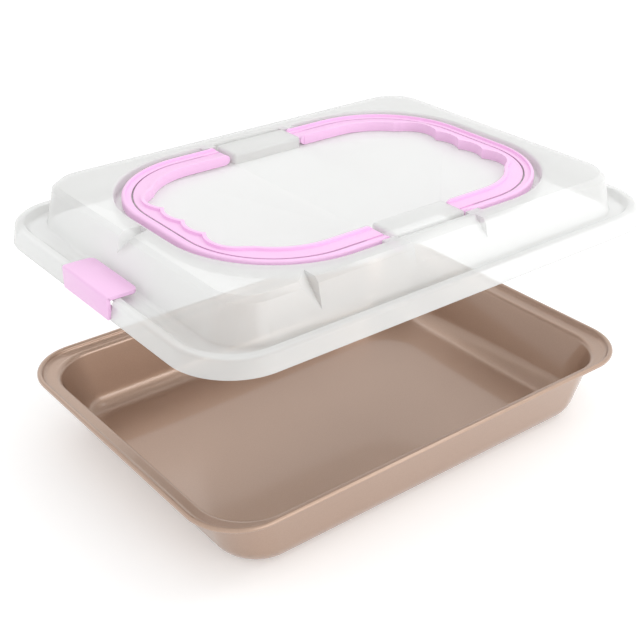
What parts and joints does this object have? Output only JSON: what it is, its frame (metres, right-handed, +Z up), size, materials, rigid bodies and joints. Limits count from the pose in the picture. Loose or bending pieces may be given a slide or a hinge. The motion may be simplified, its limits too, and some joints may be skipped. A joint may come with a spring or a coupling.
{
  "type": "cake pan with lid",
  "caption": "Rectangular steel cake pan with a rolled rim, a clear domed carry lid lifted off it, folding pink handles and end latches.",
  "frame": {"origin": "centre of the footprint, on the surface that the pan stands on", "axes": "+X along the pan's long side, +Y across it, +Z up towards the lid"},
  "size_m": [0.3796, 0.2684, 0.1918],
  "materials": {
    "coated_steel": "champagne non-stick coating on pressed steel, satin with a fine metallic glint",
    "clear_plastic": "clear polypropylene with a faint white haze, glossy",
    "pink_plastic": "pale orchid pink polypropylene, smooth and slightly glossy"
  },
  "bodies": {
    "pan": {"pan": "coated_steel"},
    "lid": {"lid": "clear_plastic"},
    "handle_left": {"handle_left": "pink_plastic"},
    "handle_right": {"handle_right": "pink_plastic"},
    "latch_left": {"latch_left": "pink_plastic"},
    "latch_right": {"latch_right": "pink_plastic"}
  },
  "joints": [
    {"name": "lid_lift", "type": "slide", "parent": "pan", "child": "lid", "axis": [0, 0, 1], "range_m": [-0.114, 0]},
    {"name": "handle_left_hinge", "type": "hinge", "parent": "lid", "child": "handle_left", "pos_m": [-0.035, 0, 0.1876], "axis": [0, 1, 0], "range_deg": [0, 105]},
    {"name": "handle_right_hinge", "type": "hinge", "parent": "lid", "child": "handle_right", "pos_m": [0.035, 0, 0.1876], "axis": [0, -1, 0], "range_deg": [0, 105]},
    {"name": "latch_left_hinge", "type": "hinge", "parent": "lid", "child": "latch_left", "pos_m": [-0.1704, 0, 0.1668], "axis": [0, 1, 0], "range_deg": [0, 100]},
    {"name": "latch_right_hinge", "type": "hinge", "parent": "lid", "child": "latch_right", "pos_m": [0.1704, 0, 0.1668], "axis": [0, -1, 0], "range_deg": [0, 100]}
  ]
}
